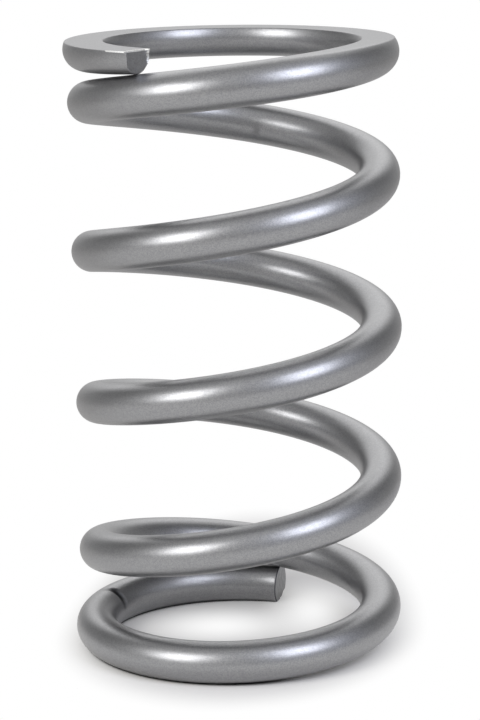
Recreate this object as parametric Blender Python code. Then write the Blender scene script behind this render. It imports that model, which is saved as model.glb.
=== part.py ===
"""Helical compression spring wound from one round steel bar.

The bar runs anticlockwise as it climbs, seen from above, which makes a right-hand coil.
Both ends are closed. The lower end is dressed flat enough to stand on, and the upper end
is ground to a wide flat seat, which runs out in a long feather at the front right.
The origin is on the floor, on the coil's axis.
"""
import math

import bmesh
import bpy
from mathutils import Vector

# Driving dimensions of the coil, in metres
OUTER_DIAMETER = 0.127
FREE_LENGTH = 0.2383
WIRE_DIAMETER = 0.0160

# Length of the bar, and where its lower tip lies, seen from above
TOTAL_TURNS = 5.443
LOWER_TIP_AZIMUTH = math.radians(72.1)

# Closed ends: turns wound level beside each tip, then the turns over which the pitch builds up.
# A higher easing brings the full pitch sooner.
LOWER_CLOSED_TURNS = 0.443
LOWER_RAMP_TURNS = 1.491
LOWER_EASING = 3.24
UPPER_CLOSED_TURNS = 0.510
UPPER_RAMP_TURNS = 2.065
UPPER_EASING = 5.29

# Air left between each tip and the coil that it closes onto, and the turns over which
# the bar bends to reach it
TIP_GAP = 0.0003
LOWER_TIP_BEND_TURNS = 0.167
UPPER_TIP_BEND_TURNS = 0.250

# Depth ground off the level coil at each end
LOWER_GRIND_DEPTH = 0.0004
UPPER_GRIND_DEPTH = 0.0042

# Feather of the upper seat: the ground face falls away in a slow curve, from a radial line
# this many turns short of the tip
FEATHER_START_TURNS = 0.676
FEATHER_CURVE_RADIUS = 0.457
FEATHER_CURVE_STEPS = 8

# Upper tip is cut aslant, with its outer side left longer. The shear chipped the foot of
# the lower tip, from its middle outwards.
UPPER_TIP_SLANT = math.radians(10.0)
LOWER_CHIP_HEIGHT = 0.0022
LOWER_CHIP_DEPTH = 0.0013

# Nick that the coiling clamp left across the bar: its place in turns from the lower tip, the
# angle of its middle round the section, from the outer side over the top, and how far it
# spreads to each side of that
NICK_TURNS = 0.245
NICK_ANGLE = math.radians(112.0)
NICK_SPREAD = math.radians(58.0)
NICK_DEPTH = 0.0009
NICK_FLANK_ANGLE = math.radians(55.0)
NICK_STEPS = 14

# The end coils are wound a little wider than the body: radius added, the turns from the tip
# that keep all of it, and the turns from the tip where it has faded out
LOWER_FLARE = 0.0014
LOWER_FLARE_FULL_TURNS = 0.44
LOWER_FLARE_FADED_TURNS = 0.83
UPPER_FLARE = 0.0017
UPPER_FLARE_FULL_TURNS = 0.25
UPPER_FLARE_FADED_TURNS = 0.67

# Fineness of the mesh
SECTION_SIDES = 24
STATIONS_PER_TURN = 40
STEPS_PER_STATION = 12

# Silver powder coat over the steel
COAT_COLOUR = (0.33, 0.33, 0.34, 1.0)
COAT_ROUGHNESS = 0.38
COAT_METALLIC = 0.8

WIRE_RADIUS = WIRE_DIAMETER / 2
MEAN_RADIUS = OUTER_DIAMETER / 2 - WIRE_RADIUS
GRINDING_REACH = OUTER_DIAMETER / 2 + 2 * WIRE_DIAMETER
UPPER_TIP_AZIMUTH = LOWER_TIP_AZIMUTH + math.tau * TOTAL_TURNS


def clear_scene():
    """Removes every object, so the file holds only the spring."""
    for item in list(bpy.data.objects):
        bpy.data.objects.remove(item, do_unlink=True)


def eased(share, easing):
    """Rises from 0 to 1 as share does, fast at first."""
    share = min(max(share, 0.0), 1.0)
    return 1.0 - (1.0 - share) ** easing


def pitch_share(turn):
    """Share of the full pitch at a place along the bar, counted in turns from the lower tip."""
    from_lower = (turn - LOWER_CLOSED_TURNS) / LOWER_RAMP_TURNS
    from_upper = (TOTAL_TURNS - UPPER_CLOSED_TURNS - turn) / UPPER_RAMP_TURNS
    return eased(from_lower, LOWER_EASING) * eased(from_upper, UPPER_EASING)


def smooth_fade(turn, full, faded):
    """1 up to the full place, 0 past the faded place, with a smooth change between."""
    share = min(max((turn - full) / (faded - full), 0.0), 1.0)
    return 1.0 - share * share * (3.0 - 2.0 * share)


def station_turns():
    """Places along the bar, in turns from the lower tip, where a section is set."""
    count = round(TOTAL_TURNS * STATIONS_PER_TURN)
    return [TOTAL_TURNS * index / count for index in range(count + 1)]


def level_heights(turns):
    """Height of the bar's centre at each station, before the tips are bent onto their neighbours."""
    rises = [0.0]
    for start, end in zip(turns, turns[1:]):
        step = (end - start) / STEPS_PER_STATION
        middles = [start + step * (index + 0.5) for index in range(STEPS_PER_STATION)]
        rises.append(rises[-1] + step * sum(pitch_share(middle) for middle in middles))
    lowest = WIRE_RADIUS - LOWER_GRIND_DEPTH
    highest = FREE_LENGTH - WIRE_RADIUS + UPPER_GRIND_DEPTH
    return [lowest + (highest - lowest) * rise / rises[-1] for rise in rises]


def height_at(turn, turns, heights):
    """Height between two stations."""
    place = min(max(turn / TOTAL_TURNS, 0.0), 1.0) * (len(turns) - 1)
    below = min(int(place), len(turns) - 2)
    return heights[below] + (heights[below + 1] - heights[below]) * (place - below)


def centre_heights(turns):
    """Bends each tip away until it clears the coil that it closes onto."""
    heights = level_heights(turns)
    clear = WIRE_DIAMETER + TIP_GAP
    lower_bend = max(0.0, clear - height_at(1.0, turns, heights) + heights[0])
    upper_bend = max(0.0, clear - heights[-1] + height_at(TOTAL_TURNS - 1.0, turns, heights))
    bent = []
    for turn, height in zip(turns, heights):
        from_lower = max(0.0, 1.0 - turn / LOWER_TIP_BEND_TURNS)
        from_upper = max(0.0, 1.0 - (TOTAL_TURNS - turn) / UPPER_TIP_BEND_TURNS)
        bent.append(height - lower_bend * from_lower ** 2 + upper_bend * from_upper ** 2)
    return bent


def coil_radius(turn):
    """Radius of the bar's centre from the axis, wider on the end coils."""
    lower = smooth_fade(turn, LOWER_FLARE_FULL_TURNS, LOWER_FLARE_FADED_TURNS)
    upper = smooth_fade(TOTAL_TURNS - turn, UPPER_FLARE_FULL_TURNS, UPPER_FLARE_FADED_TURNS)
    return MEAN_RADIUS + LOWER_FLARE * lower + UPPER_FLARE * upper


def centre_line():
    """Centre of the bar at each station, from the lower tip to the upper."""
    turns = station_turns()
    points = []
    for turn, height in zip(turns, centre_heights(turns)):
        azimuth = LOWER_TIP_AZIMUTH + math.tau * turn
        radius = coil_radius(turn)
        points.append(Vector((radius * math.cos(azimuth), radius * math.sin(azimuth), height)))
    return points


def section_axes(points, index):
    """Outward and upward directions of the round section, square to the bar."""
    before = points[max(index - 1, 0)]
    after = points[min(index + 1, len(points) - 1)]
    along = (after - before).normalized()
    radial = Vector((points[index].x, points[index].y, 0.0)).normalized()
    outward = (radial - along * radial.dot(along)).normalized()
    return outward, outward.cross(along)


def bar_mesh():
    """Round bar along the centre line, cut square at the lower tip and aslant at the upper."""
    points = centre_line()
    shape = bmesh.new()
    rings = []
    for index, centre in enumerate(points):
        outward, upward = section_axes(points, index)
        if index == len(points) - 1:
            along = (centre - points[index - 1]).normalized()
            outward = outward + along * math.tan(UPPER_TIP_SLANT)
        ring = []
        for side in range(SECTION_SIDES):
            angle = math.tau * (side + 0.5) / SECTION_SIDES
            spoke = outward * math.cos(angle) + upward * math.sin(angle)
            ring.append(shape.verts.new(centre + spoke * WIRE_RADIUS))
        rings.append(ring)
    for ring, following in zip(rings, rings[1:]):
        for side in range(SECTION_SIDES):
            other = (side + 1) % SECTION_SIDES
            shape.faces.new((ring[side], following[side], following[other], ring[other]))
    shape.faces.new(rings[0])
    shape.faces.new(list(reversed(rings[-1])))
    bmesh.ops.recalc_face_normals(shape, faces=shape.faces)
    mesh = bpy.data.meshes.new("coil_spring")
    shape.to_mesh(mesh)
    shape.free()
    mesh.shade_smooth()
    mesh.set_sharp_from_angle(angle=math.radians(40.0))
    return mesh


def cutter(name, corners, faces):
    """Hidden closed body, from its corners, that stands for metal taken off the spring."""
    mesh = bpy.data.meshes.new(name)
    mesh.from_pydata(corners, [], faces)
    shape = bmesh.new()
    shape.from_mesh(mesh)
    bmesh.ops.recalc_face_normals(shape, faces=shape.faces)
    shape.to_mesh(mesh)
    shape.free()
    body = bpy.data.objects.new(name, mesh)
    body.hide_render = True
    body.display_type = "WIRE"
    bpy.context.scene.collection.objects.link(body)
    return body


def prism(name, profile, sweep):
    """Cutter with one flat profile swept straight along a vector."""
    count = len(profile)
    corners = list(profile) + [corner + sweep for corner in profile]
    faces = [tuple(range(count)), tuple(range(count, 2 * count))]
    for index in range(count):
        other = (index + 1) % count
        faces.append((index, other, other + count, index + count))
    return cutter(name, corners, faces)


def grinding_block(name, face_height, far_height):
    """Block past one end of the coil, with its near face where the ground face will be."""
    reach = GRINDING_REACH
    sides = ((-reach, -reach), (reach, -reach), (reach, reach), (-reach, reach))
    profile = [Vector((x, y, face_height)) for x, y in sides]
    return prism(name, profile, Vector((0.0, 0.0, far_height - face_height)))


def feather_block():
    """Block over the feather of the upper seat, with a slow curve for its underside."""
    azimuth = UPPER_TIP_AZIMUTH - math.tau * FEATHER_START_TURNS
    radial = Vector((math.cos(azimuth), math.sin(azimuth), 0.0))
    back_along_bar = Vector((math.sin(azimuth), -math.cos(azimuth), 0.0))
    seat = Vector((0.0, 0.0, FREE_LENGTH))
    profile = []
    for step in range(FEATHER_CURVE_STEPS + 1):
        run = GRINDING_REACH * step / FEATHER_CURVE_STEPS
        drop = run * run / (2 * FEATHER_CURVE_RADIUS)
        profile.append(seat + back_along_bar * run - Vector((0.0, 0.0, drop)))
    above = Vector((0.0, 0.0, WIRE_DIAMETER))
    profile.append(seat + back_along_bar * GRINDING_REACH + above)
    profile.append(seat + above)
    return prism("feather_grinding", profile, radial * GRINDING_REACH)


def chip_block():
    """Block at the foot of the lower tip, from the middle of its face outwards."""
    points = centre_line()
    outward = section_axes(points, 0)[0]
    along = (points[1] - points[0]).normalized()
    foot = Vector((points[0].x, points[0].y, 0.0)) - along * WIRE_RADIUS
    far = foot + along * (WIRE_RADIUS + LOWER_CHIP_DEPTH)
    profile = [Vector((corner.x, corner.y, -WIRE_RADIUS)) for corner in (foot, far)]
    profile += [Vector((corner.x, corner.y, LOWER_CHIP_HEIGHT)) for corner in (far, foot)]
    return prism("shear_chip", profile, outward * WIRE_DIAMETER)


def nick_wedge():
    """Wedge bent round the bar, whose edge bites in at the middle and runs out at both ends."""
    points = centre_line()
    place = NICK_TURNS / TOTAL_TURNS * (len(points) - 1)
    index = int(place)
    along = points[index + 1] - points[index]
    centre = points[index] + along * (place - index)
    along.normalize()
    outward, upward = section_axes([centre - along, centre, centre + along], 1)
    kept = WIRE_RADIUS - NICK_DEPTH
    offset = (WIRE_RADIUS ** 2 - kept ** 2) / (2 * (kept - WIRE_RADIUS * math.cos(NICK_SPREAD)))
    edge_radius = kept + offset
    height = 2 * NICK_DEPTH
    half_width = height * math.tan(NICK_FLANK_ANGLE)
    middle = outward * math.cos(NICK_ANGLE) + upward * math.sin(NICK_ANGLE)
    pivot = centre - middle * offset
    corners = []
    for step in range(NICK_STEPS + 1):
        angle = NICK_ANGLE + NICK_SPREAD * (2 * step / NICK_STEPS - 1)
        spoke = outward * math.cos(angle) + upward * math.sin(angle)
        back = pivot + spoke * (edge_radius + height)
        corners += [pivot + spoke * edge_radius, back - along * half_width, back + along * half_width]
    faces = [(0, 1, 2), tuple(range(len(corners) - 3, len(corners)))]
    for start in range(0, len(corners) - 3, 3):
        for side in range(3):
            other = (side + 1) % 3
            faces.append((start + side, start + other, start + other + 3, start + side + 3))
    return cutter("clamp_nick", corners, faces)


def take_off(spring, body):
    """Takes the cutter's space off the spring."""
    cut = spring.modifiers.new(body.name, "BOOLEAN")
    cut.operation = "DIFFERENCE"
    cut.solver = "EXACT"
    cut.object = body


def powder_coat():
    """Silver powder coat, the same all over the spring."""
    coat = bpy.data.materials.new("silver_powder_coat")
    coat.use_nodes = True
    coat.diffuse_color = COAT_COLOUR
    shader = coat.node_tree.nodes["Principled BSDF"]
    shader.inputs["Base Color"].default_value = COAT_COLOUR
    shader.inputs["Roughness"].default_value = COAT_ROUGHNESS
    shader.inputs["Metallic"].default_value = COAT_METALLIC
    return coat


def build_spring():
    """The one piece: a wound bar with its ends ground and its tips cut."""
    spring = bpy.data.objects.new("coil_spring", bar_mesh())
    spring.data.materials.append(powder_coat())
    bpy.context.scene.collection.objects.link(spring)
    take_off(spring, grinding_block("lower_grinding", 0.0, -WIRE_DIAMETER))
    take_off(spring, grinding_block("upper_grinding", FREE_LENGTH, FREE_LENGTH + WIRE_DIAMETER))
    take_off(spring, feather_block())
    take_off(spring, chip_block())
    take_off(spring, nick_wedge())
    return spring


clear_scene()
build_spring()
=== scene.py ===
"""Looks of the helical compression spring: its coated bar, ground seats and sheared tips."""
import math

import bmesh
import bpy
from mathutils import Matrix, Vector, noise


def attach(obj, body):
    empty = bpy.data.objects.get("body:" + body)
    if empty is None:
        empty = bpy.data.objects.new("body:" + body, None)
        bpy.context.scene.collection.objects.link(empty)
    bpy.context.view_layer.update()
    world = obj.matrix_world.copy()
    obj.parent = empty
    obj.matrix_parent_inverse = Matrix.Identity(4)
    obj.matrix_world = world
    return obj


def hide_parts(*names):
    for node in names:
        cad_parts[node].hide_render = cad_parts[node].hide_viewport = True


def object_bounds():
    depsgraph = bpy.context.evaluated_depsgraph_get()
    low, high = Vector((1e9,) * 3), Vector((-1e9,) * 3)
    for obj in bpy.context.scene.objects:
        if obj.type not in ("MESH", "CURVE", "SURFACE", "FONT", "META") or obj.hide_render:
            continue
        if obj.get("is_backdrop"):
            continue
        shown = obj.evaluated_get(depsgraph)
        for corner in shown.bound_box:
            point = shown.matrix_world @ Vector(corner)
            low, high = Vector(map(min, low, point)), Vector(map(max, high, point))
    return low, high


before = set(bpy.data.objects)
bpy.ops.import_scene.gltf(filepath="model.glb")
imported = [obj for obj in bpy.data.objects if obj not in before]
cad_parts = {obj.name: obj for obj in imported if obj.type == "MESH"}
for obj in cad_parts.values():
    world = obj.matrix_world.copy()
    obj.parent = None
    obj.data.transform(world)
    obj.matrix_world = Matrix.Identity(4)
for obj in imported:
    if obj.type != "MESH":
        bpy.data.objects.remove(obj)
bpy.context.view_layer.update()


# Camera at the photograph's viewpoint: a long lens about a metre away, a little above the
# top of the spring and tipped down. Sizes are in metres and angles in radians.
CAMERA_DISTANCE = 1.0623
CAMERA_HEIGHT = 0.32946
CAMERA_YAW = 0.0010
CAMERA_PITCH = -0.2009
CAMERA_ROLL = -0.0120
FOCAL_PIXELS = 2778.07
IMAGE_HEIGHT_PIXELS = 720
SENSOR_HEIGHT_MM = 36.0
NEAREST_SEEN = 0.01
FARTHEST_SEEN = 100.0


def place_camera():
    """Long-lens camera in front of the spring."""
    forward = Vector((
        math.sin(CAMERA_YAW) * math.cos(CAMERA_PITCH),
        math.cos(CAMERA_YAW) * math.cos(CAMERA_PITCH),
        math.sin(CAMERA_PITCH),
    ))
    level = Vector((math.cos(CAMERA_YAW), -math.sin(CAMERA_YAW), 0.0))
    upright = level.cross(forward)
    right = level * math.cos(CAMERA_ROLL) + upright * math.sin(CAMERA_ROLL)
    up = upright * math.cos(CAMERA_ROLL) - level * math.sin(CAMERA_ROLL)
    lens = bpy.data.cameras.new("camera")
    lens.sensor_fit = "VERTICAL"
    lens.sensor_height = SENSOR_HEIGHT_MM
    lens.lens = FOCAL_PIXELS / IMAGE_HEIGHT_PIXELS * SENSOR_HEIGHT_MM
    lens.clip_start = NEAREST_SEEN
    lens.clip_end = FARTHEST_SEEN
    camera = bpy.data.objects.new("camera", lens)
    turn = Matrix((right, up, -forward)).transposed()
    place = Matrix.Translation(Vector((0.0, -CAMERA_DISTANCE, CAMERA_HEIGHT)))
    camera.matrix_world = place @ turn.to_4x4()
    bpy.context.scene.collection.objects.link(camera)
    bpy.context.scene.camera = camera


place_camera()


# Wound spring: one round bar of spring steel, coiled right-handed, with both ends closed.
# The upper end is ground to a wide flat seat that runs out in a long feather, and the lower end is
# dressed just flat enough to stand on. Both tips are sheared, and the whole is powder coated.

# The coil follows the same law as the solid that it stands for. Sizes are in metres, places along
# the bar in turns from the lower tip, and angles round its section from the outer side over the top.
OUTER_DIAMETER = 0.127
FREE_LENGTH = 0.2383
BAR_DIAMETER = 0.0160
TOTAL_TURNS = 5.443
LOWER_TIP_AZIMUTH = math.radians(72.1)
LOWER_CLOSED_TURNS = 0.443
LOWER_RAMP_TURNS = 1.491
LOWER_EASING = 3.24
UPPER_CLOSED_TURNS = 0.510
UPPER_RAMP_TURNS = 2.065
UPPER_EASING = 5.29
TIP_GAP = 0.0001
LOWER_TIP_BEND_TURNS = 0.167
UPPER_TIP_BEND_TURNS = 0.250
LOWER_GRIND_DEPTH = 0.0004
UPPER_GRIND_DEPTH = 0.0042
LOWER_FLARE = 0.0014
LOWER_FLARE_FULL_TURNS = 0.44
LOWER_FLARE_FADED_TURNS = 0.83
UPPER_FLARE = 0.0017
UPPER_FLARE_FULL_TURNS = 0.25
UPPER_FLARE_FADED_TURNS = 0.67
# The coils don't stack quite true: how far they stand aside, to the right, at places along the bar
COILS_ASIDE = ((0.60, 0.0), (1.25, 0.0004), (2.30, 0.0004), (2.80, 0.0006), (3.35, -0.0001),
               (3.80, 0.0), (4.30, -0.0004), (4.80, -0.0003), (5.30, 0.0))

BAR_RADIUS = BAR_DIAMETER / 2
COIL_RADIUS = OUTER_DIAMETER / 2 - BAR_RADIUS
TURN_LENGTH = math.tau * COIL_RADIUS

STATIONS_PER_TURN = 120
STEPS_PER_STATION = 4
SECTION_CHORD_TURNS = 0.025


def eased(share, easing):
    """Rises from 0 to 1 as share does, fast at first."""
    share = min(max(share, 0.0), 1.0)
    return 1.0 - (1.0 - share) ** easing


def pitch_share(turn):
    """Share of the full pitch at a place along the bar."""
    from_lower = (turn - LOWER_CLOSED_TURNS) / LOWER_RAMP_TURNS
    from_upper = (TOTAL_TURNS - UPPER_CLOSED_TURNS - turn) / UPPER_RAMP_TURNS
    return eased(from_lower, LOWER_EASING) * eased(from_upper, UPPER_EASING)


def smooth_fade(turn, full, faded):
    """1 up to the full place, 0 past the faded place, with a smooth change between."""
    share = min(max((turn - full) / (faded - full), 0.0), 1.0)
    return 1.0 - share * share * (3.0 - 2.0 * share)


def even_turns():
    """Evenly spaced places from one tip to the other."""
    count = round(TOTAL_TURNS * STATIONS_PER_TURN)
    return [TOTAL_TURNS * index / count for index in range(count + 1)]


def level_heights():
    """Height of the bar's centre at even places, before the tips are bent onto their neighbours."""
    turns = even_turns()
    rises = [0.0]
    for start, end in zip(turns, turns[1:]):
        step = (end - start) / STEPS_PER_STATION
        middles = [start + step * (index + 0.5) for index in range(STEPS_PER_STATION)]
        rises.append(rises[-1] + step * sum(pitch_share(middle) for middle in middles))
    lowest = BAR_RADIUS - LOWER_GRIND_DEPTH
    highest = FREE_LENGTH - BAR_RADIUS + UPPER_GRIND_DEPTH
    return [lowest + (highest - lowest) * rise / rises[-1] for rise in rises]


level = level_heights()


def height_at(turn):
    """Level height at any place along the bar."""
    place = min(max(turn / TOTAL_TURNS, 0.0), 1.0) * (len(level) - 1)
    below = min(int(place), len(level) - 2)
    return level[below] + (level[below + 1] - level[below]) * (place - below)


lower_bend = max(0.0, BAR_DIAMETER + TIP_GAP - height_at(1.0) + height_at(0.0))
upper_bend = max(0.0, BAR_DIAMETER + TIP_GAP - height_at(TOTAL_TURNS) + height_at(TOTAL_TURNS - 1.0))


def coils_aside(turn):
    """How far the coils stand aside at a place along the bar."""
    for (start, first), (end, last) in zip(COILS_ASIDE, COILS_ASIDE[1:]):
        if start <= turn < end:
            return last + (first - last) * smooth_fade(turn, start, end)
    return 0.0


def bar_centre(turn):
    """Centre of the bar at any place along it."""
    to_upper = TOTAL_TURNS - turn
    height = height_at(turn)
    height -= lower_bend * max(0.0, 1.0 - turn / LOWER_TIP_BEND_TURNS) ** 2
    height += upper_bend * max(0.0, 1.0 - to_upper / UPPER_TIP_BEND_TURNS) ** 2
    radius = COIL_RADIUS
    radius += LOWER_FLARE * smooth_fade(turn, LOWER_FLARE_FULL_TURNS, LOWER_FLARE_FADED_TURNS)
    radius += UPPER_FLARE * smooth_fade(to_upper, UPPER_FLARE_FULL_TURNS, UPPER_FLARE_FADED_TURNS)
    azimuth = LOWER_TIP_AZIMUTH + math.tau * turn
    return Vector((radius * math.cos(azimuth) + coils_aside(turn), radius * math.sin(azimuth), height))


def bar_axes(turn):
    """Centre of the bar, and its outward, upward and forward directions."""
    centre = bar_centre(turn)
    after = bar_centre(min(turn + SECTION_CHORD_TURNS, TOTAL_TURNS))
    along = (after - bar_centre(max(turn - SECTION_CHORD_TURNS, 0.0))).normalized()
    radial = Vector((centre.x, centre.y, 0.0)).normalized()
    outward = (radial - along * radial.dot(along)).normalized()
    return centre, outward, outward.cross(along), along


# Marks, as the photograph shows them: a nick across the bar, its groove and sides darkened by painted
# shade, and a small bruise on the inner side of an upper coil
NICK_TURNS = 0.245
NICK_ANGLE = math.radians(124.0)
NICK_SPREAD = math.radians(66.0)
NICK_DEPTH = 0.0009
NICK_HALF_WIDTH = 0.0030
# How dark the nick is painted, as shade in its groove and on its sides
NICK_PAINTED_SHADE = 1.3
BRUISE_TURNS = 4.019
BRUISE_ANGLE = math.radians(195.0)
BRUISE_HALF_WIDTH = 0.0028
BRUISE_HALF_HEIGHT = 0.0037
BRUISE_DEPTH = 0.0002
BRUISE_DARKNESS = 0.4


def hollow(distance, half):
    """1 in the middle of a mark, 0 at its edge and beyond, with a smooth change between."""
    share = min(abs(distance) / half, 1.0)
    return (1.0 - share * share) ** 2


def nick_share(turn, angle):
    """How much of the nick is at a place on the bar's surface."""
    around = math.remainder(angle - NICK_ANGLE, math.tau)
    return hollow((turn - NICK_TURNS) * TURN_LENGTH, NICK_HALF_WIDTH) * hollow(around, NICK_SPREAD)


def bruise_share(turn, angle):
    """How much of the bruise is at a place on the bar's surface."""
    along = (turn - BRUISE_TURNS) * TURN_LENGTH
    around = math.remainder(angle - BRUISE_ANGLE, math.tau) * BAR_RADIUS
    return hollow(along, BRUISE_HALF_WIDTH) * hollow(around, BRUISE_HALF_HEIGHT)


def mark_depth(turn, angle):
    """How deep the nick or the bruise goes at a place on the bar's surface."""
    return NICK_DEPTH * nick_share(turn, angle) + BRUISE_DEPTH * bruise_share(turn, angle)


def darkening(turn, angle):
    """How dark a mark paints the coat, 0 to 1: painted shade in the nick, the bruise's own dark mark."""
    dark = NICK_PAINTED_SHADE * nick_share(turn, angle) + BRUISE_DARKNESS * bruise_share(turn, angle)
    return min(1.0, dark)


# Ground seats: flat across the bar, with an edge just broken by the coat. The upper one falls away
# slowly at its feather, and by the upper tip a file has dressed its outer edge wider.
FEATHER_START_TURNS = 0.676
FEATHER_CURVE_RADIUS = 0.457
EDGE_RADIUS = 0.00018
EDGE_SUPPORT = 2 * EDGE_RADIUS
DRESSED_EDGE = 0.0011
DRESSED_RUN = 0.0075
FLANK_SIDES = 26
SEAT_SIDES = 9
SEAT_CORNERS = SEAT_SIDES + 3
SEAT_EDGE_ROUNDS = 6
LEAST_SEAT_ANGLE = math.radians(12.0)


def upper_seat_height(place):
    """Height of the upper ground face over a place, with its slow fall at the feather."""
    azimuth = LOWER_TIP_AZIMUTH + math.tau * (TOTAL_TURNS - FEATHER_START_TURNS)
    radial = Vector((math.cos(azimuth), math.sin(azimuth), 0.0))
    back_along_bar = Vector((math.sin(azimuth), -math.cos(azimuth), 0.0))
    run = max(0.0, place.dot(back_along_bar)) if place.dot(radial) > 0.0 else 0.0
    return FREE_LENGTH - run * run / (2 * FEATHER_CURVE_RADIUS)


def lower_seat_height(place):
    """Height of the lower ground face, the same over every place."""
    return 0.0


def seat_edge(centre, outward, upward, seat, upper, inner):
    """Angle round the section where one flank meets a ground face."""
    middle = math.pi / 2 if upper else -math.pi / 2
    turn = 1.0 if inner == upper else -1.0
    half = 0.0
    for _ in range(SEAT_EDGE_ROUNDS):
        angle = middle + turn * half
        spot = centre + (outward * math.cos(angle) + upward * math.sin(angle)) * BAR_RADIUS
        lift = (seat(spot) - centre.z) / (BAR_RADIUS * upward.z)
        lift = lift if upper else -lift
        half = math.acos(min(max(lift, -1.0), 1.0))
    return middle + turn * max(half, LEAST_SEAT_ANGLE)


def section(turn, centre, outward, upward):
    """Corners of the bar's section from the lower outer edge round, ground where a seat crosses it."""
    dressed = max(0.0, 1.0 - (TOTAL_TURNS - turn) * TURN_LENGTH / DRESSED_RUN)
    top_edge = EDGE_RADIUS + (DRESSED_EDGE - EDGE_RADIUS) * math.sqrt(dressed)
    low_out = seat_edge(centre, outward, upward, lower_seat_height, False, False)
    low_in = seat_edge(centre, outward, upward, lower_seat_height, False, True)
    top_out = seat_edge(centre, outward, upward, upper_seat_height, True, False)
    top_in = seat_edge(centre, outward, upward, upper_seat_height, True, True)

    def spot(angle):
        depth = mark_depth(turn, angle)
        return centre + (outward * math.cos(angle) + upward * math.sin(angle)) * (BAR_RADIUS - depth)

    def flank(start, end, first_edge, last_edge):
        spread = [start + (end - start) * step / FLANK_SIDES for step in range(FLANK_SIDES + 1)]
        spread[0] = start + first_edge / BAR_RADIUS
        spread[-1] = end - last_edge / BAR_RADIUS
        return [spot(angle) for angle in spread]

    def seat_row(start, end, first_edge, seat, nearer):
        first = spot(start)
        across = spot(end) - first
        shares = [first_edge / across.length, (first_edge + EDGE_SUPPORT) / across.length]
        shares += [step / SEAT_SIDES for step in range(1, SEAT_SIDES)]
        shares += [1.0 - (EDGE_RADIUS + EDGE_SUPPORT) / across.length, 1.0 - EDGE_RADIUS / across.length]
        row = []
        for share in shares:
            place = spot(start + (end - start) * share)
            chord = first + across * share
            ground = seat(chord)
            if nearer(place.z, ground) == ground:
                place = Vector((chord.x, chord.y, ground))
            row.append(place)
        return row

    corners = flank(low_out, top_out, EDGE_RADIUS, top_edge)
    corners += seat_row(top_out, top_in, top_edge, upper_seat_height, min)
    corners += flank(top_in, low_in + math.tau, EDGE_RADIUS, EDGE_RADIUS)
    corners += seat_row(low_in + math.tau, low_out + math.tau, EDGE_RADIUS, lower_seat_height, max)
    return corners


# Sheared tips: the upper one is cut aslant and flares out at its outer corner, and shearing has
# raised a lip in two teeth at its inner side. The lower one has lost a chip from its foot. On their
# faces, a spoke is a distance outward from the bar's centre and a rise is one upward.
UPPER_TIP_SLANT = math.radians(10.0)
CORNER_FROM_SPOKE = 0.0061
CORNER_FLARE = 0.70
LIP_HEIGHT = 0.0007
LIP_FROM_SPOKE = 0.0056
LIP_BARE_SPOKE = 0.0062
LIP_FULL_SPOKE = 0.0078
LIP_TOP_RISE = 0.0042
LIP_BREAK_TOP_RISE = 0.0002
LIP_BREAK_FOOT_RISE = -0.0006
LIP_FOOT_RISE = -0.0036
LIP_BREAK_SHARE = 0.8
LOWER_TIP_SLANT = math.radians(4.0)
CHIP_HEIGHT = 0.0022
CHIP_DEPTH = 0.0006
CHIP_EDGE = 0.0004
UPPER_RIM_ROUND = 0.00025
LOWER_RIM_ROUND = 0.0004
# The file has dressed the top of the upper rim down to bare steel, a little wider at its outer end
DRESSED_LENGTH = 0.0016
DRESSED_DEPTH = 0.0004
DRESSED_SHARE_IN_MIDDLE = 0.75
DRESSED_SHARE_GAIN = 0.25
# The torn grain of the real faces is finer, and is drawn as coarse as it needs to show
MM_PER_METRE = 1000
TORN_DEPTH = 0.0002
TORN_MM = 1.6
FINE_TEAR_MM = TORN_MM / 2.6
FINE_TEAR_SHARE = 0.5
TEAR_FADE_SHARE = 0.25
TIP_RAMP = 0.0055
RIM_ON_SEAT = 0.000001
RIM_STEPS = 4
CAP_RINGS = 14

# Finishes of the faces, in the order in which the bar holds its materials
COAT, GROUND, SHEARED, BRIGHT, DARK_RIM = range(5)


def within(distance, edge):
    """0 well outside, 1 well inside, with a short change at distance 0."""
    return min(max(distance / edge + 0.5, 0.0), 1.0)


def on_upper_seat(place, upper):
    """Whether a place on a tip's rim lies on the upper ground face."""
    return upper and place.z > FREE_LENGTH - RIM_ON_SEAT


def rim_sizes(spoke, place, upper):
    """How far the rounding of a tip's rim reaches back along the bar, and in over the face."""
    if on_upper_seat(place, upper):
        share = DRESSED_SHARE_IN_MIDDLE + DRESSED_SHARE_GAIN * spoke / BAR_RADIUS
        return DRESSED_LENGTH * share, DRESSED_DEPTH * share
    rounding = UPPER_RIM_ROUND if upper else LOWER_RIM_ROUND
    return rounding, rounding


def lip_share(spoke, rise):
    """How much of the lip inside the upper tip's face stands at a place on it, in two teeth."""
    inner = min(max((-spoke - LIP_FROM_SPOKE) / (LIP_FULL_SPOKE - LIP_FROM_SPOKE), 0.0), 1.0)
    if rise > LIP_BREAK_TOP_RISE:
        return inner * (LIP_TOP_RISE - rise) / (LIP_TOP_RISE - LIP_BREAK_TOP_RISE)
    drop = min(1.0, (LIP_BREAK_TOP_RISE - rise) / (LIP_BREAK_TOP_RISE - LIP_BREAK_FOOT_RISE))
    tooth = min(1.0, (LIP_BREAK_FOOT_RISE - rise) / (LIP_BREAK_FOOT_RISE - LIP_FOOT_RISE))
    return inner * (1.0 - LIP_BREAK_SHARE * drop + LIP_BREAK_SHARE * max(0.0, tooth))


def tip_cut(place, centre, outward, upward, upper):
    """How far a tip's face stands out at a place on it: slant, flared corner, lip or chip."""
    spoke = (place - centre).dot(outward)
    if not upper:
        chip = CHIP_DEPTH * within(spoke, CHIP_EDGE) * within(CHIP_HEIGHT - place.z, CHIP_EDGE)
        return (spoke - BAR_RADIUS) * math.tan(LOWER_TIP_SLANT) - chip
    corner = max(0.0, spoke - CORNER_FROM_SPOKE) * CORNER_FLARE
    rise = (place - centre).dot(upward)
    return spoke * math.tan(UPPER_TIP_SLANT) + corner + LIP_HEIGHT * lip_share(spoke, rise)


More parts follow.
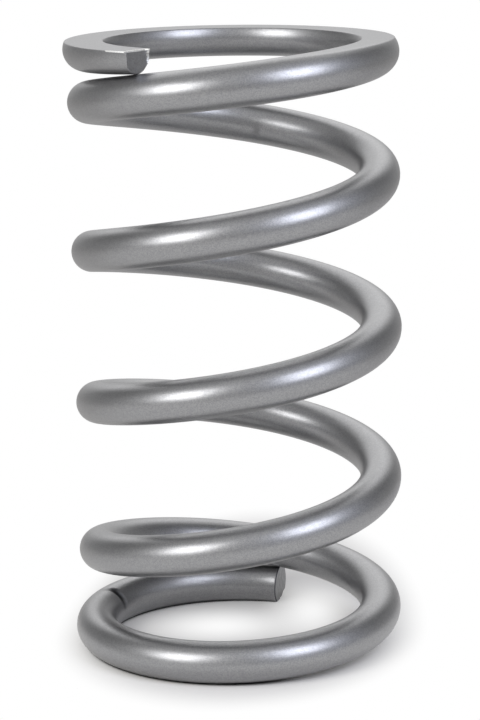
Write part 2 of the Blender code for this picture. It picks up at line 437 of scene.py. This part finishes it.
def shape_tip(turn, corners, centre, outward, upward, along):
    """Moves the corners of a section beside a tip along the bar, to meet the cut face."""
    upper = turn > TOTAL_TURNS / 2
    away = (TOTAL_TURNS - turn if upper else turn) * TURN_LENGTH
    share = 1.0 - away / TIP_RAMP
    if share <= 0.0:
        return corners
    out = along if upper else -along
    moved = []
    for place in corners:
        back = rim_sizes((place - centre).dot(outward), place, upper)[0]
        moved.append(place + out * ((tip_cut(place, centre, outward, upward, upper) - back) * share))
    return moved


def tip_finish(spoke, height, upper, on_rim):
    """Finish on a tip: the upper one coated outside and worn bright on its rim, the lower rim a dark line.
    """
    coated_from = 0.0 if on_rim else CORNER_FROM_SPOKE
    if upper and spoke > coated_from and height < FREE_LENGTH - DRESSED_DEPTH:
        return COAT
    if upper and (on_rim or spoke < -LIP_BARE_SPOKE):
        return BRIGHT
    # The lower tip's rim is drawn as a dull dark line
    return DARK_RIM if on_rim else SHEARED


def close_tip(shape, rim, turn):
    """Rounded rim and sheared face over one tip."""
    upper = turn > TOTAL_TURNS / 2
    centre, outward, upward, along = bar_axes(turn)
    out = along if upper else -along
    places = [corner.co.copy() for corner in rim]
    sizes = [rim_sizes((place - centre).dot(outward), place, upper) for place in places]
    flat = [place + out * back for place, (back, inset) in zip(places, sizes)]
    middle = sum(flat, Vector()) / len(flat)
    filed = [on_upper_seat(place, upper) for place in flat]
    inward = [Vector((0.0, 0.0, -1.0)) if cut else (middle - place).normalized()
              for place, cut in zip(flat, filed)]
    rows = [rim]
    for step in range(1, RIM_STEPS + 1):
        share = step / RIM_STEPS
        angle = math.pi / 2 * share
        row = []
        for place, way, cut, (back, inset) in zip(flat, inward, filed, sizes):
            behind = back * (1.0 - share if cut else 1.0 - math.sin(angle))
            into = inset * (share if cut else 1.0 - math.cos(angle))
            row.append(shape.verts.new(place - out * behind + way * into))
        rows.append(row)
    edge = [corner.co.copy() for corner in rows[-1]]

    def torn_place(place, share):
        spot = middle + (place - middle) * share
        grain = noise.noise(spot * (MM_PER_METRE / TORN_MM))
        grain += FINE_TEAR_SHARE * noise.noise(spot * (MM_PER_METRE / FINE_TEAR_MM))
        depth = TORN_DEPTH * grain * min(1.0, (1.0 - share) / TEAR_FADE_SHARE)
        level_spot = spot - out * (spot - centre).dot(out)
        return level_spot + out * (tip_cut(spot, centre, outward, upward, upper) - depth)

    for ring in range(1, CAP_RINGS):
        rows.append([shape.verts.new(torn_place(place, 1.0 - ring / CAP_RINGS)) for place in edge])
    count = len(rim)
    for number, (row, following) in enumerate(zip(rows, rows[1:])):
        for index in range(count):
            other = (index + 1) % count
            face = shape.faces.new((row[index], row[other], following[other], following[index]))
            spot = face.calc_center_median()
            spoke = (spot - centre).dot(outward)
            face.material_index = tip_finish(spoke, spot.z, upper, number < RIM_STEPS)
    peak = shape.verts.new(torn_place(middle, 0.0))
    for index in range(count):
        face = shape.faces.new((rows[-1][index], rows[-1][(index + 1) % count], peak))
        face.material_index = SHEARED


# Mesh of the bar: sections from tip to tip, close together by the tips and the marks
LEAST_STATION_TURNS = 0.0003
FINE_STEPS = 8
MARK_MARGIN = 1.2
FACE_ON_SEAT = 0.00001
SHARP_ANGLE = math.radians(35.0)


def station_turns():
    """Places along the bar that have a section: even ones, and close ones by the tips and marks."""
    turns = even_turns()
    close = ((0.0, DRESSED_RUN), (TOTAL_TURNS, DRESSED_RUN), (NICK_TURNS, MARK_MARGIN * NICK_HALF_WIDTH),
             (BRUISE_TURNS, MARK_MARGIN * BRUISE_HALF_WIDTH))
    for middle, reach in close:
        step = reach / TURN_LENGTH / FINE_STEPS
        turns += [middle + step * index for index in range(-FINE_STEPS, FINE_STEPS + 1)]
    kept = [0.0]
    for turn in sorted(turns):
        if LEAST_STATION_TURNS < turn - kept[-1] and turn < TOTAL_TURNS - LEAST_STATION_TURNS:
            kept.append(turn)
    return kept + [TOTAL_TURNS]


def finish_of(turn, corners, side):
    """Which finish a face of the flank or seat has."""
    outer_edge = (FLANK_SIDES, FLANK_SIDES + 1)
    top_row = range(FLANK_SIDES + 1, FLANK_SIDES + SEAT_CORNERS)
    if side in outer_edge and (TOTAL_TURNS - turn) * TURN_LENGTH < DRESSED_RUN:
        return BRIGHT
    if side in top_row and min(corner.co.z for corner in corners) > FREE_LENGTH - FACE_ON_SEAT:
        return GROUND
    return COAT


def wind_bar():
    """Closed mesh of the whole bar, in one piece."""
    shape = bmesh.new()
    nick_shade_and_bruise = shape.verts.layers.float.new("nick_shade_and_bruise")
    turns = station_turns()
    rings = []
    for turn in turns:
        centre, outward, upward, along = bar_axes(turn)
        corners = shape_tip(turn, section(turn, centre, outward, upward), centre, outward, upward, along)
        ring = [shape.verts.new(place) for place in corners]
        # Each corner keeps how dark a mark paints it: painted shade in the nick, the bruise's dark mark
        for corner in ring:
            spoke = corner.co - centre
            corner[nick_shade_and_bruise] = darkening(turn, math.atan2(spoke.dot(upward), spoke.dot(outward)))
        rings.append(ring)
    count = len(rings[0])
    for turn, ring, following in zip(turns, rings, rings[1:]):
        for side in range(count):
            other = (side + 1) % count
            corners = (ring[side], following[side], following[other], ring[other])
            face = shape.faces.new(corners)
            face.material_index = finish_of(turn, corners, side)
    close_tip(shape, rings[0], 0.0)
    close_tip(shape, rings[-1], TOTAL_TURNS)
    bmesh.ops.recalc_face_normals(shape, faces=shape.faces)
    mesh = bpy.data.meshes.new("wound_bar")
    shape.to_mesh(mesh)
    shape.free()
    mesh.shade_smooth()
    mesh.set_sharp_from_angle(angle=SHARP_ANGLE)
    return mesh


wound_bar = bpy.data.objects.new("wound_bar", wind_bar())
bpy.context.scene.collection.objects.link(wound_bar)


def linear(code):
    """Linear colour of an sRGB hex code, opaque."""
    parts = [int(code[start:start + 2], 16) / 255 for start in (1, 3, 5)]
    parts = [((part + 0.055) / 1.055) ** 2.4 if part > 0.04045 else part / 12.92 for part in parts]
    return (*parts, 1.0)


def add_node(tree, kind, settings=(), links=()):
    """Adds a node, sets its properties or sockets, and links its sockets to nodes or their sockets."""
    node = tree.nodes.new(kind)
    for name, value in dict(settings).items():
        if isinstance(name, str) and hasattr(node, name):
            setattr(node, name, value)
        else:
            node.inputs[name].default_value = value
    for name, source in dict(links).items():
        source = source if isinstance(source, bpy.types.NodeSocket) else source.outputs[0]
        tree.links.new(source, node.inputs[name])
    return node


def start_material(name):
    """Empty material and its node tree."""
    material = bpy.data.materials.new(name)
    material.use_nodes = True
    material.node_tree.nodes.clear()
    return material, material.node_tree


# Silver powder coat: aluminium flake in a clear baked resin, sprayed all over the finished
# spring. The flake gives it a metal's reflections, softened by the slightly rippled skin
# of the resin, and a fine sparkle.
COAT_FLAKE_DARK = "#8E8E90"
COAT_FLAKE_LIGHT = "#A1A1A2"
# Colour of the painted shade in the nick and of the bruise's own dark mark
NICK_SHADE_AND_BRUISE_COLOUR = "#343437"
RESIN_SHARE = 0.35
RESIN_ROUGHNESS = 0.32
# Real flake is some 0.03 mm across, too fine to show in the render, so it is drawn as coarse as it
# needs to show. The ripple of the resin is at its real size.
FLAKE_MM = 0.35
FLAKE_TILT = 0.00003
RIPPLE_MM = 1.6
RIPPLE_HEIGHT = 0.0001
RIPPLE_DETAIL = 2.0


def silver_powder_coat(name, roughness, ripple_strength, grain_strength):
    """Flake silver coat: the roughness, and how deep its ripple and grain are."""
    material, tree = start_material(name)
    place = add_node(tree, "ShaderNodeTexCoord").outputs["Object"]
    flake = add_node(tree, "ShaderNodeTexVoronoi", {"Scale": MM_PER_METRE / FLAKE_MM}, {"Vector": place})
    shade = add_node(tree, "ShaderNodeSeparateColor", (), {"Color": flake.outputs["Color"]})
    flakes = {"data_type": "RGBA", 6: linear(COAT_FLAKE_DARK), 7: linear(COAT_FLAKE_LIGHT)}
    tone = add_node(tree, "ShaderNodeMix", flakes, {"Factor": shade.outputs["Red"]})
    # Where a mark darkens the coat: painted shade in the nick, and the bruise's own dark mark
    nick_shade_and_bruise = add_node(tree, "ShaderNodeAttribute", {"attribute_name": "nick_shade_and_bruise"})
    shaded_and_bruised = add_node(tree, "ShaderNodeMix", {"data_type": "RGBA", 7: linear(NICK_SHADE_AND_BRUISE_COLOUR)},
                       {"Factor": nick_shade_and_bruise.outputs["Fac"], 6: tone.outputs[2]})
    ripples = {"Scale": MM_PER_METRE / RIPPLE_MM, "Detail": RIPPLE_DETAIL}
    ripple = add_node(tree, "ShaderNodeTexNoise", ripples, {"Vector": place})
    skin = add_node(tree, "ShaderNodeBump", {"Strength": ripple_strength, "Distance": RIPPLE_HEIGHT},
                    {"Height": ripple.outputs["Fac"]})
    grain = add_node(tree, "ShaderNodeBump", {"Strength": grain_strength, "Distance": FLAKE_TILT},
                     {"Height": shade.outputs["Green"], "Normal": skin})
    resin = {"Coat Weight": RESIN_SHARE, "Coat Roughness": RESIN_ROUGHNESS}
    shader = add_node(tree, "ShaderNodeBsdfPrincipled", {"Metallic": 1.0, "Roughness": roughness, **resin},
                      {"Base Color": shaded_and_bruised.outputs[2], "Normal": grain})
    add_node(tree, "ShaderNodeOutputMaterial", (), {"Surface": shader})
    return material


# Scratched steel: the bar's own steel where a file has taken the coat off, and a dull dark line round the
# lower tip's rim.
# It reflects like the metal it is, broken by fine scratches. Real ones are some 0.05 mm apart, too
# fine to show in the render, so they are drawn as coarse as they need to show.
SCRATCH_MM = 0.4
SCRATCH_DEPTH = 0.00003
SCRATCH_STRENGTH = 0.3
SCRATCH_DETAIL = 3.0


def scratched_steel(name, colour, roughness):
    """Scratched metal: its colour and roughness, with fine scratches."""
    material, tree = start_material(name)
    place = add_node(tree, "ShaderNodeTexCoord").outputs["Object"]
    pattern = {"Scale": MM_PER_METRE / SCRATCH_MM, "Detail": SCRATCH_DETAIL}
    scratches = add_node(tree, "ShaderNodeTexNoise", pattern, {"Vector": place})
    worn = add_node(tree, "ShaderNodeBump", {"Strength": SCRATCH_STRENGTH, "Distance": SCRATCH_DEPTH},
                    {"Height": scratches.outputs["Fac"]})
    bare = {"Metallic": 1.0, "Roughness": roughness, "Base Color": linear(colour)}
    shader = add_node(tree, "ShaderNodeBsdfPrincipled", bare, {"Normal": worn})
    add_node(tree, "ShaderNodeOutputMaterial", (), {"Surface": shader})
    return material


finishes = (
    # Powder coat on the round bar: satin, with soft edges to its reflections
    silver_powder_coat("silver_powder_coat", roughness=0.36, ripple_strength=0.10, grain_strength=0.05),
    # Powder coat on the ground seat: flat and even, a little duller, with more sparkle
    silver_powder_coat("coated_ground_steel", roughness=0.40, ripple_strength=0.05, grain_strength=0.10),
    # Powder coat on the sheared faces: mottled, because it follows the torn steel under it
    silver_powder_coat("coated_sheared_steel", roughness=0.42, ripple_strength=0.90, grain_strength=0.20),
    # Spring steel filed bare on the upper tip's edge and lip: a bright line
    scratched_steel("bright_worn_steel", "#F2F2F0", roughness=0.24),
    # A dull dark line round the lower tip's rim
    scratched_steel("dark_lower_rim", "#66666A", roughness=0.60),
)
for finish in finishes:
    wound_bar.data.materials.append(finish)
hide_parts("coil_spring")
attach(wound_bar, "root")


# Floor: a studio floor in matt white paint, which mirrors nothing and keeps the shadow that the spring
# casts. It reads as white a little way out, and inside the ring where light comes in under the open
# end of the lower coil, as the photograph's floor is washed out there.
FLOOR_WIDTH = 6.0
FLOOR_COLOUR = "#E3E1DE"
CONTACT_SHADE = "#000000"
# The floor washes out beyond a slanting oval round the spring, from one multiple of its reach to another
WASHED_MIDDLE = (0.0004, 0.012, 0.0)
WASHED_SLANT = 0.06
WASHED_ASIDE = 0.0577
WASHED_FRONT = 0.0796
WASHED_REAR = 0.1506
WASHED_FROM = 0.93
WASHED_FULL = 1.32
# Two ovals inside the ring wash out too: one by the open end, and one in the middle
OPEN_END = (0.0296, 0.0370, 0.0)
OPEN_END_REACH = (0.0250, 0.0585)
OPEN_END_LIFT = 0.885
OPEN_RING = (-0.0085, 0.0167, 0.0)
OPEN_RING_REACH = (0.0470, 0.0380)
OPEN_RING_LIFT = 0.925
# Where steel stands this near the floor, the contact is dark
CONTACT_REACH = 0.003
CONTACT_DARK = 0.05
CONTACT_CLEAR = 0.28
# How bright the steel sees the floor, by how far it lies to the front and to the sides
FLOOR_IN_STEEL = 0.9
LAMPS_REACH_FLOOR = -0.10
LAMPS_LOSE_FLOOR = 0.15
FLOOR_DIMS_FROM = -0.35
FLOOR_DIM = -0.90
FLOOR_ASIDE_IN_STEEL = 0.84
FLOOR_NEAR = 0.06
FLOOR_ASIDE = 0.20

floor_mesh = bpy.data.meshes.new("studio_floor")
edge = FLOOR_WIDTH / 2
floor_mesh.from_pydata(
    [(-edge, -edge, 0.0), (edge, -edge, 0.0), (edge, edge, 0.0), (-edge, edge, 0.0)], [], [(0, 1, 2, 3)])
studio_floor = bpy.data.objects.new("studio_floor", floor_mesh)
bpy.context.scene.collection.objects.link(studio_floor)
floor_paint, floor_tree = start_material("matt_white_floor")
floor_place = add_node(floor_tree, "ShaderNodeTexCoord").outputs["Object"]


def patch(tree, level, *edges):
    """Patch at a level, which each edge brings in smoothly as its value goes from a start to a full one."""
    area = None
    for value, start, full in edges:
        reach = {"From Min": start, "From Max": full, "To Max": level if area is None else 1.0}
        share = add_node(tree, "ShaderNodeMapRange", {"interpolation_type": "SMOOTHSTEP", **reach},
                         {"Value": value})
        if area is None:
            area = share
        else:
            area = add_node(tree, "ShaderNodeMath", {"operation": "MULTIPLY"}, {0: area, 1: share})
    return area


def open_patch(middle, reach, lift):
    """Oval of floor that the light washes out, strongest at its middle."""
    offset = add_node(floor_tree, "ShaderNodeVectorMath", {"operation": "SUBTRACT", 1: middle},
                      {0: floor_place})
    shares = (1 / reach[0], 1 / reach[1], 0.0)
    scaled = add_node(floor_tree, "ShaderNodeVectorMath", {"operation": "MULTIPLY", 1: shares}, {0: offset})
    away = add_node(floor_tree, "ShaderNodeVectorMath", {"operation": "LENGTH"}, {0: scaled})
    return patch(floor_tree, lift, (away.outputs["Value"], 1.0, 0.0))


def washed_floor():
    """Floor that reads as white: all beyond a slanting oval round the spring, which is longer behind."""
    offset = add_node(floor_tree, "ShaderNodeVectorMath", {"operation": "SUBTRACT", 1: WASHED_MIDDLE},
                      {0: floor_place})
    axes = add_node(floor_tree, "ShaderNodeSeparateXYZ", (), {"Vector": offset})
    to_side, to_back = axes.outputs["X"], axes.outputs["Y"]
    aside = add_node(floor_tree, "ShaderNodeMath", {"operation": "MULTIPLY_ADD", 1: -WASHED_SLANT},
                     {0: to_back, 2: to_side})
    aside = add_node(floor_tree, "ShaderNodeMath", {"operation": "DIVIDE", 1: WASHED_ASIDE}, {0: aside})
    rear = add_node(floor_tree, "ShaderNodeMath", {"operation": "DIVIDE", 1: WASHED_REAR}, {0: to_back})
    front = add_node(floor_tree, "ShaderNodeMath", {"operation": "DIVIDE", 1: -WASHED_FRONT}, {0: to_back})
    farther = add_node(floor_tree, "ShaderNodeMath", {"operation": "MAXIMUM"}, {0: rear, 1: front})
    out = add_node(floor_tree, "ShaderNodeCombineXYZ", (), {"X": aside, "Y": farther})
    away = add_node(floor_tree, "ShaderNodeVectorMath", {"operation": "LENGTH"}, {0: out})
    return patch(floor_tree, 1.0, (away.outputs["Value"], WASHED_FROM, WASHED_FULL))


def floor_in_steel():
    """How bright the floor is in the steel: lit in front of the spring, dimmer far out and to the sides."""
    axes = add_node(floor_tree, "ShaderNodeSeparateXYZ", (), {"Vector": floor_place})
    to_side, to_back = axes.outputs["X"], axes.outputs["Y"]
    lit = patch(floor_tree, FLOOR_IN_STEEL, (to_back, LAMPS_LOSE_FLOOR, LAMPS_REACH_FLOOR),
                (to_back, FLOOR_DIM, FLOOR_DIMS_FROM))
    square = add_node(floor_tree, "ShaderNodeMath", {"operation": "MULTIPLY"}, {0: to_side, 1: to_side})
    near = patch(floor_tree, 1.0 - FLOOR_ASIDE_IN_STEEL, (square, FLOOR_ASIDE ** 2, FLOOR_NEAR ** 2))
    across = add_node(floor_tree, "ShaderNodeMath", {"operation": "ADD", 1: FLOOR_ASIDE_IN_STEEL},
                      {0: near})
    return add_node(floor_tree, "ShaderNodeMath", {"operation": "MULTIPLY"}, {0: lit, 1: across})


def seen_and_mirrored(tree, in_steel):
    """Share of a ray that sees a surface straight or through glass, and share that sees it in steel."""
    path = add_node(tree, "ShaderNodeLightPath")
    straight = add_node(tree, "ShaderNodeMath", {"operation": "MAXIMUM"},
                        {0: path.outputs["Is Camera Ray"], 1: path.outputs["Is Transmission Ray"]})
    mirrored = add_node(tree, "ShaderNodeMath", {"operation": "MULTIPLY"},
                        {0: path.outputs["Is Glossy Ray"], 1: in_steel})
    return straight, mirrored


washed_out = washed_floor()
for middle, reach, lift in ((OPEN_END, OPEN_END_REACH, OPEN_END_LIFT),
                            (OPEN_RING, OPEN_RING_REACH, OPEN_RING_LIFT)):
    washed_out = add_node(floor_tree, "ShaderNodeMix", {"data_type": "FLOAT", "B": 1.0},
                          {"Factor": open_patch(middle, reach, lift), "A": washed_out})
nearness = add_node(floor_tree, "ShaderNodeAmbientOcclusion", {"Distance": CONTACT_REACH})
contact = patch(floor_tree, 1.0, (nearness.outputs["AO"], CONTACT_DARK, CONTACT_CLEAR))
washed_out = add_node(floor_tree, "ShaderNodeMath", {"operation": "MULTIPLY"}, {0: washed_out, 1: contact})
straight, mirrored = seen_and_mirrored(floor_tree, floor_in_steel())
seen = add_node(floor_tree, "ShaderNodeMath", {"operation": "MAXIMUM"}, {0: straight, 1: mirrored})
seen = add_node(floor_tree, "ShaderNodeMath", {"operation": "MULTIPLY"}, {0: washed_out, 1: seen})
shades = {"data_type": "RGBA", 6: linear(CONTACT_SHADE), 7: linear(FLOOR_COLOUR)}
tone = add_node(floor_tree, "ShaderNodeMix", shades, {"Factor": contact})
paint = add_node(floor_tree, "ShaderNodeBsdfDiffuse", (), {"Color": tone.outputs[2]})
white = add_node(floor_tree, "ShaderNodeEmission", {"Strength": 1.0})
surface = add_node(floor_tree, "ShaderNodeMixShader", (), {0: seen, 1: paint, 2: white})
add_node(floor_tree, "ShaderNodeOutputMaterial", (), {"Surface": surface})
floor_mesh.materials.append(floor_paint)
studio_floor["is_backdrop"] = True


# Studio light: a large softbox to each side of the camera, the right one a little higher
# and cooler, in a room that is white behind the spring and dim to the sides and overhead.
SOFTBOX_DISTANCE = 0.95
SOFTBOX_AIM = Vector((0.0, 0.0, 0.12))


def softbox(name, azimuth, elevation, width, height, watts, colour):
    """Soft rectangular lamp that faces the middle of the spring. Azimuth 0 is at the camera."""
    lamp = bpy.data.lights.new(name, "AREA")
    lamp.shape = "RECTANGLE"
    lamp.size = width
    lamp.size_y = height
    lamp.energy = watts
    lamp.color = linear(colour)[:3]
    side = math.radians(azimuth)
    rise = math.radians(elevation)
    towards = Vector((math.sin(side) * math.cos(rise), -math.cos(side) * math.cos(rise), math.sin(rise)))
    stand = bpy.data.objects.new(name, lamp)
    stand.location = SOFTBOX_AIM + towards * SOFTBOX_DISTANCE
    stand.visible_camera = False
    stand.rotation_euler = towards.to_track_quat("Z", "Y").to_euler()
    bpy.context.scene.collection.objects.link(stand)


softbox("left_softbox", azimuth=-45.0, elevation=26.0, width=0.47, height=0.52,
        watts=4.1, colour="#FFFFFF")
softbox("right_softbox", azimuth=45.0, elevation=31.8, width=0.46, height=0.58,
        watts=4.05, colour="#EEF2FF")

# The room's light in every direction. Each pair is where a light starts and where it is full, as
# shares of the way out to the right (ACROSS), to the rear (DEEP) or to the top (HIGH).
SIDE_LEVEL = 0.22
BACKDROP_LEVEL = 0.70
BACKDROP_IN_STEEL = 1.5
BACKDROP_ACROSS_SQUARED = (0.42, 0.04)
BACKDROP_RIGHT_ACROSS = (0.85, 0.15)
BACKDROP_DEEP = (0.05, 0.35)
BACKDROP_TOP_HIGH = (0.97, 0.75)
BACKDROP_FOOT_SHARE = 0.12
BACKDROP_FOOT_HIGH = (-0.1, 0.02)
BACKDROP_BODY_HIGH = (0.15, 0.52)
HORIZON_LEVEL = 0.20
HORIZON_HIGH = (0.60, 0.05)
HORIZON_DEEP = (-0.45, 0.0)
FRONT_LEVEL = 0.44
FRONT_DEEP = (0.35, -0.40)
FRONT_FOOT_HIGH = (-0.25, 0.20)
FRONT_TOP_HIGH = (1.60, 0.50)
OVERHEAD_LEVEL = 0.21
OVERHEAD_HIGH = (0.60, 0.95)
RIGHT_TOP_LEVEL = 0.18
RIGHT_TOP_ACROSS = (0.0, 0.45)
RIGHT_TOP_HIGH = (0.60, 0.90)
RIGHT_TOP_DEEP = (0.35, -0.10)
ROOM_WHITE = "#FFFFFF"
RIGHT_WALL = "#F2F5FF"
RIGHT_WALL_ACROSS = (0.0, 0.5)
RIGHT_WALL_DEEP = (0.3, -0.2)

world = bpy.data.worlds.new("studio_room")
bpy.context.scene.world = world
world.use_nodes = True
room_tree = world.node_tree
room_tree.nodes.clear()
direction = add_node(room_tree, "ShaderNodeTexCoord").outputs["Generated"]
across, deep, high = add_node(room_tree, "ShaderNodeSeparateXYZ", (), {"Vector": direction}).outputs
across_squared = add_node(room_tree, "ShaderNodeMath", {"operation": "MULTIPLY"}, {0: across, 1: across})
backdrop_wide = patch(room_tree, 1.0, (across_squared, *BACKDROP_ACROSS_SQUARED), (deep, *BACKDROP_DEEP),
                      (across, *BACKDROP_RIGHT_ACROSS), (high, *BACKDROP_TOP_HIGH))
backdrop_foot = patch(room_tree, BACKDROP_FOOT_SHARE, (high, *BACKDROP_FOOT_HIGH))
backdrop_body = patch(room_tree, 1.0 - BACKDROP_FOOT_SHARE, (high, *BACKDROP_BODY_HIGH))
backdrop_tall = add_node(room_tree, "ShaderNodeMath", {"operation": "ADD"},
                         {0: backdrop_foot, 1: backdrop_body})
backdrop = add_node(room_tree, "ShaderNodeMath", {"operation": "MULTIPLY"},
                    {0: backdrop_wide, 1: backdrop_tall})
horizon = patch(room_tree, HORIZON_LEVEL, (high, *HORIZON_HIGH), (deep, *HORIZON_DEEP))
front = patch(room_tree, FRONT_LEVEL, (deep, *FRONT_DEEP), (high, *FRONT_FOOT_HIGH),
              (high, *FRONT_TOP_HIGH))
overhead = patch(room_tree, OVERHEAD_LEVEL, (high, *OVERHEAD_HIGH))
right_top = patch(room_tree, RIGHT_TOP_LEVEL, (across, *RIGHT_TOP_ACROSS), (high, *RIGHT_TOP_HIGH),
                  (deep, *RIGHT_TOP_DEEP))
levels = {"operation": "MULTIPLY_ADD", 1: BACKDROP_LEVEL, 2: SIDE_LEVEL}
room = add_node(room_tree, "ShaderNodeMath", levels, {0: backdrop})
for light in (horizon, front, overhead, right_top):
    room = add_node(room_tree, "ShaderNodeMath", {"operation": "ADD"}, {0: room, 1: light})
straight, mirrored = seen_and_mirrored(room_tree, backdrop)
in_steel = add_node(room_tree, "ShaderNodeMix", {"data_type": "FLOAT", "B": BACKDROP_IN_STEEL},
                    {"Factor": mirrored, "A": room})
room_seen = add_node(room_tree, "ShaderNodeMix", {"data_type": "FLOAT", "B": 1.0},
                     {"Factor": straight, "A": in_steel})
right_wall = patch(room_tree, 1.0, (across, *RIGHT_WALL_ACROSS), (deep, *RIGHT_WALL_DEEP))
not_straight = add_node(room_tree, "ShaderNodeMath", {"operation": "SUBTRACT", 0: 1.0}, {1: straight})
tint = add_node(room_tree, "ShaderNodeMath", {"operation": "MULTIPLY"}, {0: right_wall, 1: not_straight})
walls = {"data_type": "RGBA", 6: linear(ROOM_WHITE), 7: linear(RIGHT_WALL)}
room_colour = add_node(room_tree, "ShaderNodeMix", walls, {"Factor": tint})
room_light = add_node(room_tree, "ShaderNodeBackground", (),
                      {"Color": room_colour.outputs[2], "Strength": room_seen})
add_node(room_tree, "ShaderNodeOutputWorld", (), {"Surface": room_light})

bpy.context.scene.view_settings.view_transform = "Standard"

low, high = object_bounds()
